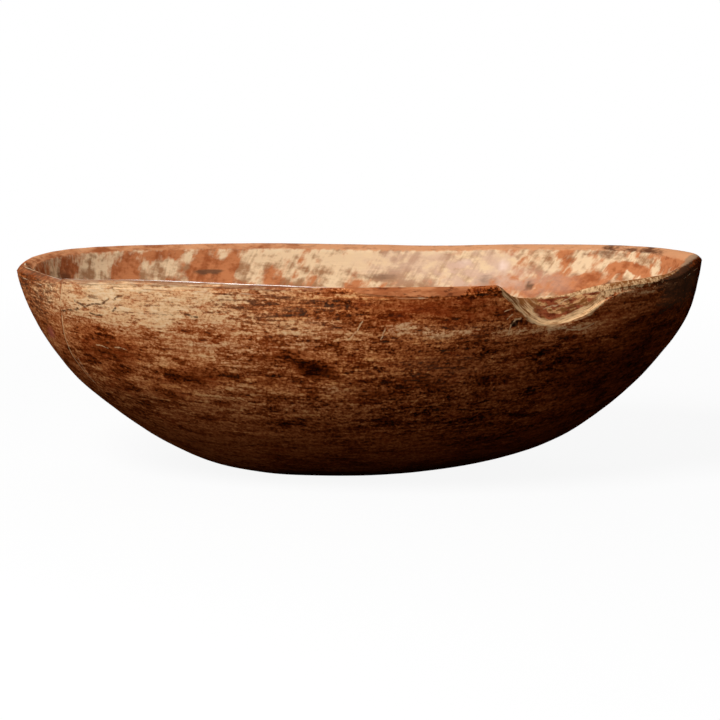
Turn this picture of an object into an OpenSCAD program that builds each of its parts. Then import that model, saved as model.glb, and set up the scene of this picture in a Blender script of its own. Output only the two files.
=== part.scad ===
// A dough bowl carved from one half of a log. It is a single piece of wood: a
// round-bottomed hull with a flat hewn under it, hollowed out, its rim worn
// round, one end trimmed flat with an axe, and a scoop broken and worn out of
// the near rim.
// X runs along the bowl, -Y is the side with the worn scoop, and Z is up.
// Angles go round from the +X end, counter-clockwise seen from above.

/* [Overall] */
// Length over the rim, end to end
bowl_length = 600; // [500:10:700]
// Width over the rim, front to back
bowl_width = 400; // [340:10:460]
// Height of the rim above the table
bowl_height = 180; // [150:5:210]
// Depth of the flat foot that is hewn into the round underside
foot_cut = 7; // [3:0.5:9]
// How far the foot lies off the middle, towards the trimmed end
foot_shift = 16; // [0:2:30]

/* [Wall] */
// Thickness of the wall at the rim
rim_wall = 14; // [11:0.5:18]
// Thickness of the floor in the middle
floor_wall = 20; // [15:1:26]
// Height of the rounding on the outer edge of the rim
outer_crown = 3.5; // [2:0.5:5]
// Height of the rounding on the inner edge of the rim
inner_crown = 6; // [3:0.5:8]
// Height of the waves in the hand-cut rim
rim_wave = 6; // [0:0.5:9]

/* [Trimmed ends] */
// Distance of the -X end's trimmed face from the middle, at the rim
face_reach = 288; // [275:1:295]
// How far that face leans in, for each unit of height
face_lean = 0.05; // [0:0.01:0.4]
// Depth of the shoulder at the top of the trimmed end's edge
shoulder_depth = 1.8; // [0:0.2:3]
// How much lower the rim lies along the trimmed end
shoulder_drop = 1.6; // [0:0.2:3]

/* [Worn scoop] */
// Depth that the rim is worn down in the scoop
gap_depth = 12; // [4:0.5:15]
// Height of the worn hollow on the outside, under the rim
scoop_height = 22; // [16:1:30]
// Thickness of wood left at the top of the worn hollow
scoop_lip = 3.5; // [2.5:0.5:6]
// Height of the bevel on the rim beside the scoop
bevel_height = 3.5; // [0:0.5:5]

/* [Hidden] */
wood_colour = "sienna";

half_length = bowl_length / 2;
half_width = bowl_width / 2;
full_turn = 360;
// Height of the band of closely spaced rows under the rim
rim_band = 9;
// Where the top of the rim's rounding lies, as a share of the wall
crest_share = 0.38;

// Round the bowl in equal steps from the +X end
rim_wave_shares = [0.3, 0.35, -0.1, -0.65, -0.55, -0.3, -0.15, 0.1,
                   -0.3, -0.55, 0.3, 0.1, -0.25, -0.35, -0.35, -0.4];
// Outline of the rim against an ellipse, round the bowl in the same steps
outline_shares = [1.04, 1.07, 1.01, 1, 1, 1, 1.025, 1.03,
                  0.975, 1, 1.03, 1.01, 1.005, 1.005, 0.99, 1.01];
// Section of the hull against an ellipse, from the lowest point up to the rim,
// for the +X end, the -X end and the sides
end_section_shares = [0.1, 0.13, 0.085, 0, -0.03, -0.022, 0];
trimmed_section_shares = [0.12, 0.14, 0, -0.052, -0.039, -0.023, 0];
side_section_shares = [0.05, 0.07, 0, -0.005, 0, 0, 0];
// Wear of that end's corners, and the direction that its face looks in
edge_wear = 2.5;
face_angle = -18;

// The trimmed end's face runs from its tip to its edge
facet_tip_angle = 186;
facet_edge_angle = 206.5;
facet_edge_low_angle = 201;
facet_blend_angle = 255;
// How far down the face reaches, and how far down its shoulder does
facet_share = 0.66;
shoulder_share = 0.24;
hollow_facet_share = 0.3;
// How flat the face is
facet_flatness = 0.85;

// The worn scoop's stretch of rim, with the shares of its depth, height and
// bite at equal steps along it
scoop_angles = [303, 338];
gap_shares = [0, 0.65, 0.95, 1, 1.02, 0.97, 0.8, 0.52, 0.3, 0.16, 0.08, 0.03, 0];
scoop_height_shares = [0, 0, 0.35, 0.8, 1, 1, 0.95, 0.65, 0.2, 0, 0, 0, 0];
scoop_bite_shares = [0, 0.5, 0.95, 1, 1, 1, 0.95, 0.8, 0.4, 0.15, 0.05, 0, 0];
scoop_curve = 0.55;
bevel_angles = [270, 302];
bevel_shares = [0, 0.6, 1, 1, 0.8, 0];

lower_rows = 15;
band_rows = 8;
crown_rows = 7;
hollow_rows = 19;

// Column angles at the rim: closer together where the rim turns or is worn
column_angles = concat(
    [for (phi = [0 : 4 : 184]) phi],
    [for (t = [0 : 0.2 : 0.8]) mix(facet_tip_angle, facet_edge_angle, t)],
    [mix(facet_tip_angle, facet_edge_angle, 0.93)],
    [mix(facet_tip_angle, facet_edge_angle, 0.985)],
    [for (t = [0 : 0.1 : 0.99]) mix(facet_edge_angle, facet_blend_angle, t)],
    [for (t = [0 : 0.1 : 0.99]) mix(facet_blend_angle, scoop_angles[0] - 2, t)],
    [for (t = [0 : 0.05 : 0.99]) mix(scoop_angles[0] - 2, scoop_angles[1], t)],
    [for (t = [0 : 0.125 : 0.99]) mix(scoop_angles[1], full_turn, t)]
);
columns = len(column_angles);

function mix(a, b, t) = a + (b - a) * t;
function clip(t) = min(max(t, 0), 1);
function ease(t) = let (c = clip(t)) c * c * (3 - 2 * c);

// The smaller of two reaches, with the corner between them worn round
function worn_min(a, b) = (a + b) / 2 - norm([(a - b) / 2, edge_wear]);

// Smooth curve through four values, from b at t = 0 to c at t = 1
function spline(a, b, c, d, t) =
    b + 0.5 * t * (c - a + t * (2 * a - 5 * b + 4 * c - d + t * (3 * (b - c) + d - a)));

// Value of a table that goes once round the bowl, its first entry at start
function around(table, phi, start = 0) =
    let (n = len(table), f = (phi - start + full_turn) / full_turn * n, i = floor(f))
    spline(table[(i + n - 1) % n], table[i % n], table[(i + 1) % n],
           table[(i + 2) % n], f - i);

// Value of a table that goes along one stretch of angles, and zero outside it
function along(table, span, phi) =
    let (n = len(table) - 1, f = (phi - span[0]) / (span[1] - span[0]) * n, i = floor(f))
    f <= 0 || f >= n ? 0
    : max(0, spline(table[max(i - 1, 0)], table[i], table[i + 1],
                    table[min(i + 2, n)], f - i));

function rim_height(phi) = bowl_height + rim_wave * around(rim_wave_shares, phi);
function gap(phi) = gap_depth * along(gap_shares, scoop_angles, phi);
function shoulder(phi) =
    phi < facet_tip_angle || phi >= facet_edge_angle ? 0
    : ease((phi - facet_tip_angle) / (facet_edge_angle - facet_tip_angle));
function crest_height(phi) =
    rim_height(phi) - gap(phi) - shoulder_drop * shoulder(phi);

// Distance from the middle to the rim in the direction phi
function outline_reach(phi) =
    around(outline_shares, phi)
    / norm([cos(phi) / half_length, sin(phi) / half_width]);

// Section through hull or hollow: w is 0 at the rim and 1 at the lowest point
function section(table, f) =
    let (n = len(table) - 1, i = min(floor(f * n), n - 1))
    spline(table[max(i - 1, 0)], table[i], table[i + 1], table[min(i + 2, n)], f * n - i);
function swell(phi, w) =
    let (beta = acos(clip(w)), c = cos(phi))
    sin(beta) * (1 + mix(section(side_section_shares, beta / 90),
                         section(c > 0 ? end_section_shares : trimmed_section_shares, beta / 90), c * c));

function hull_w(phi, z) = (rim_height(phi) - z) / (rim_height(phi) + foot_cut);
function round_reach(phi, w) = outline_reach(phi) * swell(phi, w);

// The +X end: a nearly upright face, reached at w below the rim
function face_cut(phi, w) =
    cos(phi - face_angle) < 0.5 ? 2 * bowl_length
    : (face_reach - face_lean * w * bowl_height) / cos(phi - face_angle);

// The trimmed end: at each level a chord from the tip to the edge
function edge_angle(w) =
    mix(facet_edge_angle, facet_edge_low_angle, clip(w / facet_share));
function chord_reach(phi, w) =
    let (a = facet_tip_angle, b = edge_angle(w),
         p = round_reach(a, w) * [cos(a), sin(a)],
         q = round_reach(b, w) * [cos(b), sin(b)],
         d = q - p)
    (p.x * q.y - p.y * q.x) / (cos(phi) * d.y - sin(phi) * d.x);
function trimmed_reach(phi, w, depth_share = facet_share) =
    let (r = worn_min(round_reach(phi, w), face_cut(phi, w)),
         flat = facet_flatness * (1 - ease(w / depth_share)))
    phi <= facet_tip_angle || phi >= edge_angle(w) ? r : mix(r, chord_reach(phi, w), flat);

// Angle of a column at level w: columns by the edge lean so that one follows it
function leaning(phi, w) =
    phi <= facet_tip_angle || phi >= facet_blend_angle ? phi
    : phi < facet_edge_angle
    ? mix(facet_tip_angle, edge_angle(w),
          (phi - facet_tip_angle) / (facet_edge_angle - facet_tip_angle))
    : mix(edge_angle(w), facet_blend_angle,
          (phi - facet_edge_angle) / (facet_blend_angle - facet_edge_angle));

// Point at reach r in direction phi, on a section whose swell is s
function place(phi, r, s, z) = [r * cos(phi) - foot_shift * (1 - s), r * sin(phi), z];

// Outer surface at height z of the column that meets the rim at phi
function hull_reach(phi, z) =
    let (w = hull_w(phi, z))
    trimmed_reach(leaning(phi, w), w)
    - shoulder_depth * shoulder(phi) * (1 - clip(w / shoulder_share));
function hull_point(phi, z, bite = 0) =
    let (w = hull_w(phi, z))
    place(leaning(phi, w), hull_reach(phi, z) - bite,
          swell(phi, w), z);

// The worn scoop bites into the outer surface, most at the top
function scoop_band(phi) =
    mix(rim_band, scoop_height, along(scoop_height_shares, scoop_angles, phi));
function bite(phi, z) =
    (rim_wall - scoop_lip) * along(scoop_bite_shares, scoop_angles, phi)
    * pow(clip(1 - (crest_height(phi) - z) / scoop_band(phi)), scoop_curve);

// Inner surface: w is 0 at the rim and 1 in the middle of the floor
function hollow_point(phi, w) =
    let (s = swell(phi, w), a = leaning(phi, w))
    place(a, trimmed_reach(a, w, hollow_facet_share) - rim_wall * s, s,
          mix(rim_height(phi), floor_wall, w));

// One column of points, from the foot up the outside, over the rim and down
// the hollow, almost to the middle of the floor
function column(phi) =
    let (top = crest_height(phi),
         z_band = top - scoop_band(phi),
         z_outer = top - outer_crown - bevel_height * along(bevel_shares, bevel_angles, phi),
         z_inner = top - inner_crown,
         beta_foot = acos(hull_w(phi, 0)),
         beta_band = acos(hull_w(phi, z_band)),
         w_inner = (rim_height(phi) - z_inner) / (rim_height(phi) - floor_wall),
         outer_edge = hull_point(phi, z_outer, bite(phi, z_outer)),
         inner_edge = hollow_point(phi, w_inner))
    concat(
        [for (i = [0 : lower_rows - 1])
            let (beta = mix(beta_foot, beta_band, i / lower_rows))
            hull_point(phi, rim_height(phi) - (rim_height(phi) + foot_cut) * cos(beta))],
        [for (i = [0 : band_rows])
            let (z = mix(z_band, z_outer, i / band_rows))
            hull_point(phi, z, bite(phi, z))],
        [for (i = [1 : crown_rows - 1])
            let (u = i / crown_rows,
                 across = mix(outer_edge, inner_edge, u),
                 z = u < crest_share
                     ? mix(z_outer, top, 1 - pow(1 - u / crest_share, 2))
                     : mix(top, z_inner, pow((u - crest_share) / (1 - crest_share), 2)))
            [across.x, across.y, z]],
        [for (i = [0 : hollow_rows - 1])
            hollow_point(phi, cos(mix(acos(w_inner), 0, i / hollow_rows)))]
    );

module bowl() {
    shell = [for (phi = column_angles) column(phi)];
    rows = len(shell[0]);
    raw = concat([for (c = shell) each c], [[-foot_shift, 0, floor_wall]]);
    // The trimmed outline is lopsided, so the whole is centred over the origin
    centre = [(min([for (p = raw) p.x]) + max([for (p = raw) p.x])) / 2,
              (min([for (p = raw) p.y]) + max([for (p = raw) p.y])) / 2, 0];
    points = [for (p = raw) p - centre];
    middle = len(points) - 1;
    function at(j, i) = (j % columns) * rows + i;
    skin = [for (j = [0 : columns - 1], i = [0 : rows - 2]) each [
        [at(j, i), at(j, i + 1), at(j + 1, i + 1)],
        [at(j, i), at(j + 1, i + 1), at(j + 1, i)]]];
    floor_fan = [for (j = [0 : columns - 1])
        [at(j, rows - 1), middle, at(j + 1, rows - 1)]];
    foot = [[for (j = [0 : columns - 1]) at(j, 0)]];
    color(wood_colour)
        polyhedron(points, concat(skin, floor_fan, foot), convexity = 4);
}

bowl();
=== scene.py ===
"""The looks of a dough bowl carved from one half of a log.

One piece, carved_bowl, stands for the CAD solid. Its mesh is the solid's own,
smoothed and then worked over with the marks of the axe, the knife and wear.
Its material is wood with a dark patina outside and the remains of red paint
inside. Which places are pale, dark or painted is written down as spots, each
with a real place and size, and kept as fields of the vertices, which the
material reads.
"""
import math

import bmesh
import bpy
import numpy as np
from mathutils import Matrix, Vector, noise


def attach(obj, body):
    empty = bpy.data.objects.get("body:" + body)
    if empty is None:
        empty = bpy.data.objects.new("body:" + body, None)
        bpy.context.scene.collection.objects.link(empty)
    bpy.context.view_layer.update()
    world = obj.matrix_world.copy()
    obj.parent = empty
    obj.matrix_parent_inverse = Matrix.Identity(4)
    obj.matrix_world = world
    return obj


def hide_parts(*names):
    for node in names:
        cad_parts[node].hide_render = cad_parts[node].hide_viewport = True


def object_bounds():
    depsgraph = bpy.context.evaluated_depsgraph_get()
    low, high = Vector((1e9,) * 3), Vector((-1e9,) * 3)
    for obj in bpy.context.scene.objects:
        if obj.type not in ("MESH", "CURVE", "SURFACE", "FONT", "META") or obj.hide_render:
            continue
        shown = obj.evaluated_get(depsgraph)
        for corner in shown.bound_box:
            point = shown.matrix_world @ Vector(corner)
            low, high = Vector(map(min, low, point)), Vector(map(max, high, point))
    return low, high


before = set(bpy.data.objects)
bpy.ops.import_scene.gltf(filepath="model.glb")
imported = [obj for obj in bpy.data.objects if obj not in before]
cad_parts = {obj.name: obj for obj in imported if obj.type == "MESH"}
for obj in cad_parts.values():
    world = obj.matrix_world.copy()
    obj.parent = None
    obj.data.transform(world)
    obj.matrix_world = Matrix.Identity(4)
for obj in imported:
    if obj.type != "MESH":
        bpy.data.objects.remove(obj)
cad_low, cad_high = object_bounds()

MM = 0.001
WHITE = (1, 1, 1, 1)


def srgb(red, green, blue):
    """A colour as seen on screen, 0 to 255, as the linear colour that shaders take."""
    return tuple((c / 255) ** 2.2 for c in (red, green, blue)) + (1.0,)


# Camera

CAMERA_DISTANCE = 2.0
CAMERA_ELEVATION = math.radians(8.14)
CAMERA_LENS = 113.7
SENSOR_WIDTH = 36.0
LOOK_AT = Vector((0, 0, 90 * MM))
# How far the photograph is framed to the left of and above that point
FRAMED_LEFT = 2.1 * MM
FRAMED_UP = 2.3 * MM


def make_camera():
    data = bpy.data.cameras.new("camera")
    data.lens = CAMERA_LENS
    data.sensor_width = SENSOR_WIDTH
    camera = bpy.data.objects.new("camera", data)
    bpy.context.scene.collection.objects.link(camera)
    back = Vector((0, -math.cos(CAMERA_ELEVATION), math.sin(CAMERA_ELEVATION)))
    up = Vector((0, math.sin(CAMERA_ELEVATION), math.cos(CAMERA_ELEVATION)))
    aim = LOOK_AT + FRAMED_UP * up - FRAMED_LEFT * Vector((1, 0, 0))
    camera.location = aim + CAMERA_DISTANCE * back
    camera.rotation_mode = "QUATERNION"
    camera.rotation_quaternion = (-back).to_track_quat("-Z", "Y")
    bpy.context.scene.camera = camera


# Light and floor

# Each lamp: azimuth from the camera's side towards +X, elevation, distance,
# side length, and how bright it makes a white surface that faces it
LAMPS = {
    "key": (-40, 42, 2.4, 1.2, 1.02),
    "front": (6, 24, 2.4, 1.6, 0.10),
    # Only lights what faces away from the camera
    "back": (172, 22, 2.6, 2.0, 0.42),
}
ROOM_LIGHT = 0.13
FLOOR_SIZE = 12.0
FLOOR_CELLS = 8
# The floor's colour where it is seen, and the darker one that it lights with
FLOOR_COLOUR = srgb(242, 242, 242)
FLOOR_BOUNCE = srgb(86, 82, 76)
# How far from the middle the floor starts and ends turning to plain white
FLOOR_FADE = (0.45, 1.6)
FLOOR_WHITE_NEAR = 0.91


def make_lamp(name, azimuth, elevation, distance, side, brightness):
    data = bpy.data.lights.new(name, "AREA")
    data.shape = "DISK"
    data.size = side
    data.energy = brightness * (math.pi * distance) ** 2
    lamp = bpy.data.objects.new(name, data)
    bpy.context.scene.collection.objects.link(lamp)
    a, e = math.radians(azimuth), math.radians(elevation)
    out = Vector((math.sin(a) * math.cos(e), -math.cos(a) * math.cos(e), math.sin(e)))
    lamp.location = LOOK_AT + distance * out
    lamp.rotation_mode = "QUATERNION"
    lamp.rotation_quaternion = (-out).to_track_quat("-Z", "Y")


def seen_directly(tree):
    """1 for what the camera sees directly, by reflection or through glass."""
    path = tree.nodes.new("ShaderNodeLightPath")
    seen = path.outputs["Is Camera Ray"]
    for name in ("Is Glossy Ray", "Is Transmission Ray"):
        either = tree.nodes.new("ShaderNodeMath")
        either.operation = "MAXIMUM"
        tree.links.new(seen, either.inputs[0])
        tree.links.new(path.outputs[name], either.inputs[1])
        seen = either.outputs[0]
    return seen


def make_world():
    world = bpy.data.worlds.new("room")
    bpy.context.scene.world = world
    world.use_nodes = True
    nodes, links = world.node_tree.nodes, world.node_tree.links
    nodes.clear()
    room = nodes.new("ShaderNodeBackground")
    room.inputs["Strength"].default_value = ROOM_LIGHT
    white = nodes.new("ShaderNodeBackground")
    mix = nodes.new("ShaderNodeMixShader")
    links.new(seen_directly(world.node_tree), mix.inputs["Fac"])
    links.new(room.outputs[0], mix.inputs[1])
    links.new(white.outputs[0], mix.inputs[2])
    out = nodes.new("ShaderNodeOutputWorld")
    links.new(mix.outputs[0], out.inputs["Surface"])
    for shader in (room, white):
        shader.inputs["Color"].default_value = WHITE


def make_floor():
    bm = bmesh.new()
    bmesh.ops.create_grid(bm, x_segments=FLOOR_CELLS, y_segments=FLOOR_CELLS, size=FLOOR_SIZE / 2)
    mesh = bpy.data.meshes.new("floor")
    bm.to_mesh(mesh)
    bm.free()
    floor = bpy.data.objects.new("floor", mesh)
    floor.location.z = cad_low.z
    bpy.context.scene.collection.objects.link(floor)
    material = bpy.data.materials.new("floor")
    material.use_nodes = True
    mesh.materials.append(material)
    nodes, links = material.node_tree.nodes, material.node_tree.links
    nodes.clear()
    place = nodes.new("ShaderNodeTexCoord")
    reach = nodes.new("ShaderNodeVectorMath")
    reach.operation = "LENGTH"
    links.new(place.outputs["Object"], reach.inputs[0])
    fade = nodes.new("ShaderNodeMapRange")
    fade.interpolation_type = "SMOOTHSTEP"
    fade.inputs["From Min"].default_value = FLOOR_FADE[0]
    fade.inputs["From Max"].default_value = FLOOR_FADE[1]
    fade.inputs["To Min"].default_value = FLOOR_WHITE_NEAR
    fade.inputs["To Max"].default_value = 1.0
    links.new(reach.outputs["Value"], fade.inputs["Value"])
    seen = seen_directly(material.node_tree)
    share = nodes.new("ShaderNodeMath")
    share.operation = "MULTIPLY"
    links.new(seen, share.inputs[0])
    links.new(fade.outputs["Result"], share.inputs[1])
    colour = nodes.new("ShaderNodeMix")
    colour.data_type = "RGBA"
    links.new(seen, colour.inputs["Factor"])
    colour.inputs[6].default_value = FLOOR_BOUNCE
    colour.inputs[7].default_value = FLOOR_COLOUR
    matt = nodes.new("ShaderNodeBsdfDiffuse")
    links.new(colour.outputs[2], matt.inputs["Color"])
    white = nodes.new("ShaderNodeEmission")
    mix = nodes.new("ShaderNodeMixShader")
    links.new(share.outputs[0], mix.inputs["Fac"])
    links.new(matt.outputs[0], mix.inputs[1])
    links.new(white.outputs[0], mix.inputs[2])
    out = nodes.new("ShaderNodeOutputMaterial")
    links.new(mix.outputs[0], out.inputs["Surface"])


# Shape of the bowl

WELD = 0.001 * MM
# Edges whose faces turn by more than the first angle are kept sharp, and fully so
# from the second, but for the band at the top, where the rim is round
CREASE_FROM = math.radians(13)
CREASE_FULL = math.radians(26)
CREASE_MOST = 0.75
ROUND_BAND = 24 * MM
# The outline of the flat foot stays sharp: all edges on it that turn more than this
FOOT_TURN = math.radians(3)
SMOOTHING_STEPS = 2
# How often the cage is moved so that the smooth surface runs through the CAD's
# points, and the misses that are left alone and that are mended in full
FITTING_ROUNDS = 3
MISS_LEFT = 0.10 * MM
MISS_MENDED = 0.50 * MM

# A face that looks up counts as inside below the first share of the height, and
# fully so from the second down
LOOKS_UP_SHARES = (0.6, 0.3)
INSIDE_BLEND = 0.25
# How far the near side and the far side blend on either side of the middle
SIDE_BLEND = 20 * MM
# In how many steps round the bowl the height of the rim's crest is taken
CREST_STEPS = 180

# Marks of the tools: the size of their features along X, Y and Z, and how deep
# they go outside and inside
HEWN_SIZE = np.array([60, 42, 26]) * MM
HEWN_OUTSIDE, HEWN_INSIDE = 0.45 * MM, 0.50 * MM
ROUGH_SIZE = np.array([26, 14, 7]) * MM
ROUGH_OUTSIDE, ROUGH_INSIDE = 0.22 * MM, 0.20 * MM
PITTED_SIZE = np.array([11, 9, 5]) * MM
PITTED_OUTSIDE = 0.10 * MM
HEWN_SEED, ROUGH_SEED, PITTED_SEED = 3, 8, 14
# Where they start and where they are full: down from the rim, and up from the foot
HEWN_BELOW_RIM = (4 * MM, 30 * MM)
MARKS_ABOVE_FOOT = (3 * MM, 35 * MM)

# Where the near rim is rubbed flat: from and to along X with the slopes at the two
# ends, where it starts and is full along Y, and how deep
FLAT_SPAN = (-262 * MM, 30 * MM)
FLAT_SLOPES = (30 * MM, 60 * MM)
FLAT_ACROSS = (-60 * MM, -90 * MM)
FLAT_DEPTH = 1.1 * MM
# Room over the crest where nothing is rubbed
UNRUBBED_ROOM = 1 * MM

# Where the edge of the trimmed end crosses the rim, its notch is worn soft: its
# half width, and the depths below the rim where that starts and is full
NOTCH_WIDTH = 9 * MM
NOTCH_DEPTHS = (16 * MM, 6 * MM)
NOTCH_ROUNDS = 8
NOTCH_STEP = 0.5


def ramp(value, start, full):
    """0 before start, 1 past full, and an eased rise between them. Start may be the
    higher of the two."""
    t = np.clip((value - start) / (full - start), 0, 1)
    return t * t * (3 - 2 * t)


def between(value, low, high, rise, fall):
    """1 between low and high, with slopes of those two widths inside them."""
    return ramp(value, low, low + rise) * ramp(value, high, high - fall)


def waves(places, size, seed):
    """Smooth noise from -1 to 1 over the places, with features of that size."""
    shift = Vector((seed, 2.7 * seed, -1.3 * seed))
    scale = np.broadcast_to(np.asarray(size, float), (3,))
    return np.array([noise.noise(Vector(p) + shift) for p in places / scale])


def vertex_places(mesh):
    places = np.zeros(len(mesh.vertices) * 3)
    mesh.vertices.foreach_get("co", places)
    return places.reshape(-1, 3)


def smoothed(piece):
    """A new mesh of the piece with its modifiers applied."""
    graph = bpy.context.evaluated_depsgraph_get()
    return bpy.data.meshes.new_from_object(piece.evaluated_get(graph))


def quad_mesh(node, name):
    """The CAD node's mesh with its triangles joined to quads and its edges creased."""
    bm = bmesh.new()
    bm.from_mesh(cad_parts[node].data)
    bmesh.ops.remove_doubles(bm, verts=bm.verts, dist=WELD)
    bmesh.ops.join_triangles(
        bm, faces=bm.faces[:], angle_face_threshold=math.pi,
        angle_shape_threshold=math.pi)
    crease = bm.edges.layers.float.new("crease_edge")
    for edge in bm.edges:
        turn = edge.calc_face_angle(0)
        height = max(v.co.z for v in edge.verts)
        if height < WELD:
            edge[crease] = 1.0 if turn > FOOT_TURN else 0.0
        elif turn > CREASE_FROM and height < cad_high.z - ROUND_BAND:
            share = (turn - CREASE_FROM) / (CREASE_FULL - CREASE_FROM)
            edge[crease] = CREASE_MOST * min(share, 1)
    mesh = bpy.data.meshes.new(name)
    bm.to_mesh(mesh)
    bm.free()
    return mesh


def refined_copy(node, name):
    """The CAD node's shape as a smooth surface that runs through its points."""
    mesh = quad_mesh(node, name)
    piece = bpy.data.objects.new(name, mesh)
    bpy.context.scene.collection.objects.link(piece)
    smooth = piece.modifiers.new("smooth", "SUBSURF")
    smooth.levels = smooth.render_levels = SMOOTHING_STEPS
    target = vertex_places(mesh)
    cage = target.copy()
    for _ in range(FITTING_ROUNDS):
        miss = target - vertex_places(smoothed(piece))[:len(target)]
        cage += miss * ramp(np.linalg.norm(miss, axis=1), MISS_LEFT, MISS_MENDED)[:, None]
        mesh.vertices.foreach_set("co", cage.ravel())
        mesh.update()
    piece.data = smoothed(piece)
    piece.data.name = name
    piece.modifiers.clear()
    return piece


class Surface:
    """The bowl's vertices, with what is needed to carve and to paint on them."""

    def __init__(self, mesh):
        self.mesh = mesh
        self.co = vertex_places(mesh)
        self.normal = np.zeros(self.co.size)
        mesh.vertex_normals.foreach_get("vector", self.normal)
        self.normal = self.normal.reshape(-1, 3)
        self.x, self.y, self.z = self.co.T
        edges = np.zeros(len(mesh.edges) * 2, int)
        mesh.edges.foreach_get("vertices", edges)
        self.edges = edges.reshape(-1, 2)
        self.angle = np.degrees(np.arctan2(self.y, self.x)) % 360
        self.reach = np.hypot(self.x, self.y)
        radial = self.normal[:, 0] * self.x + self.normal[:, 1] * self.y
        self.outward = radial / (self.reach + WELD)
        self.up = self.z / cad_high.z
        looks_up = self.normal[:, 2] * ramp(self.up, *LOOKS_UP_SHARES)
        self.inside = ramp(looks_up - self.outward, -INSIDE_BLEND, INSIDE_BLEND)
        self.outside = 1 - self.inside
        self.near = ramp(-self.y, -SIDE_BLEND, SIDE_BLEND)
        self.far = 1 - self.near
        self.depth = self.crest_heights() - self.z

    def crest_heights(self):
        """Height of the rim's crest at each vertex's angle."""
        crest = np.zeros(CREST_STEPS)
        step = (self.angle * CREST_STEPS / 360).astype(int) % CREST_STEPS
        np.maximum.at(crest, step, self.z)
        middles = (np.arange(CREST_STEPS) + 0.5) * 360 / CREST_STEPS
        return np.interp(self.angle, middles, crest, period=360)

    def from_arris(self):
        """Distance round the bowl from the edge of the trimmed end."""
        return np.radians(self.angle - table(ARRIS_ANGLES, self.up)) * self.reach

    def average(self, places):
        """Mean place of each vertex's neighbours."""
        total = np.zeros_like(places)
        number = np.zeros(len(places))
        for a, b in ((0, 1), (1, 0)):
            np.add.at(total, self.edges[:, a], places[self.edges[:, b]])
            np.add.at(number, self.edges[:, a], 1)
        return total / number[:, None]

    def keep(self, name, values):
        """Stores one value for each vertex, for the material to read."""
        layer = self.mesh.attributes.new(name, "FLOAT", "POINT")
        layer.data.foreach_set("value", values.astype(np.float32))

    def keep_vectors(self, name, *parts):
        """Stores a vector for each vertex, given as its three parts."""
        layer = self.mesh.attributes.new(name, "FLOAT_VECTOR", "POINT")
        layer.data.foreach_set("vector", np.stack(parts, 1).astype(np.float32).ravel())


def mark_with_tools(surface, moved):
    """Makes the surface uneven, as the axe and the knife leave it."""
    hewn = waves(surface.co, HEWN_SIZE, HEWN_SEED) * ramp(surface.depth, *HEWN_BELOW_RIM)
    rough = waves(surface.co, ROUGH_SIZE, ROUGH_SEED)
    pitted = waves(surface.co, PITTED_SIZE, PITTED_SEED)
    outside = HEWN_OUTSIDE * hewn + ROUGH_OUTSIDE * rough + PITTED_OUTSIDE * pitted
    inside = HEWN_INSIDE * hewn + ROUGH_INSIDE * rough
    height = surface.outside * outside + surface.inside * inside
    height *= ramp(surface.z, *MARKS_ABOVE_FOOT)
    moved += surface.normal * height[:, None]


def rub_flat(surface, moved):
    """Wears the crest of the near rim down to a flat."""
    rubbed = FLAT_DEPTH * ramp(surface.y, *FLAT_ACROSS) * between(
        surface.x, *FLAT_SPAN, *FLAT_SLOPES)
    crest = surface.depth + surface.z
    top = crest - rubbed + UNRUBBED_ROOM * (rubbed == 0)
    moved[:, 2] = np.minimum(moved[:, 2], top)


def soften_notch(surface, moved):
    """Wears the notch soft where the edge of the trimmed end crosses the rim."""
    notch = np.exp(-(surface.from_arris() / NOTCH_WIDTH) ** 2)
    notch *= ramp(surface.depth, *NOTCH_DEPTHS)
    for _ in range(NOTCH_ROUNDS):
        moved += NOTCH_STEP * notch[:, None] * (surface.average(moved) - moved)


def carve(surface):
    """Moves the vertices by the marks that tools and use have left."""
    moved = surface.co.copy()
    mark_with_tools(surface, moved)
    rub_flat(surface, moved)
    soften_notch(surface, moved)
    moved = np.clip(moved, np.array(cad_low), np.array(cad_high))
    surface.mesh.vertices.foreach_set("co", moved.ravel())
    surface.mesh.update()


# Painted places


def table(shares, t):
    """Value at t, 0 to 1, of a table of evenly spaced shares."""
    return np.interp(t, np.linspace(0, 1, len(shares)), shares)


def spots(across, up, entries):
    """Sum of soft spots. Each is: place across, place up, half width, half height,
    amount, and the tilt in degrees; all lengths in millimetres."""
    total = np.zeros(len(across))
    for place, height, half_width, half_height, amount, tilt in entries:
        dx, dz = across / MM - place, up / MM - height
        c, s = math.cos(math.radians(tilt)), math.sin(math.radians(tilt))
        r = ((c * dx + s * dz) / half_width) ** 2 + ((c * dz - s * dx) / half_height) ** 2
        total += amount * np.exp(-r ** 2)
    return total


def route_distance(across, up, route):
    """Distance to a route of points and length along it, both in metres. The
    distance is positive on the left of the route, seen along it."""
    points = np.array(route) * MM
    nearest = np.full(len(across), 1e9)
    side = np.ones(len(across))
    along = np.zeros(len(across))
    start = 0.0
    for p, q in zip(points, points[1:]):
        step = q - p
        length = math.hypot(*step)
        dx, dz = across - p[0], up - p[1]
        t = np.clip((dx * step[0] + dz * step[1]) / length ** 2, 0, 1)
        away = np.hypot(dx - t * step[0], dz - t * step[1])
        closer = away < nearest
        nearest = np.where(closer, away, nearest)
        side = np.where(closer, np.sign(step[0] * dz - step[1] * dx), side)
        along = np.where(closer, start + t * length, along)
        start += length
    return nearest * side, along


# How pale the outside is by place: along X, end to end, and up from the foot
PALE_ALONG_SHARES = [0.47, 0.51, 0.53, 0.45, 0.37, 0.31, 0.20]
PALE_UP_SHARES = [-0.18, -0.12, -0.07, -0.03, 0.0, 0.02, 0.03]
# How strongly the short fibres show, along X
ROUGH_SHARES = [0.75, 0.80, 0.95, 1.15, 1.10, 0.85, 0.75]
# How much the grain sinks towards the two ends near the foot, per metre of X
GRAIN_SAG = 0.5

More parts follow.
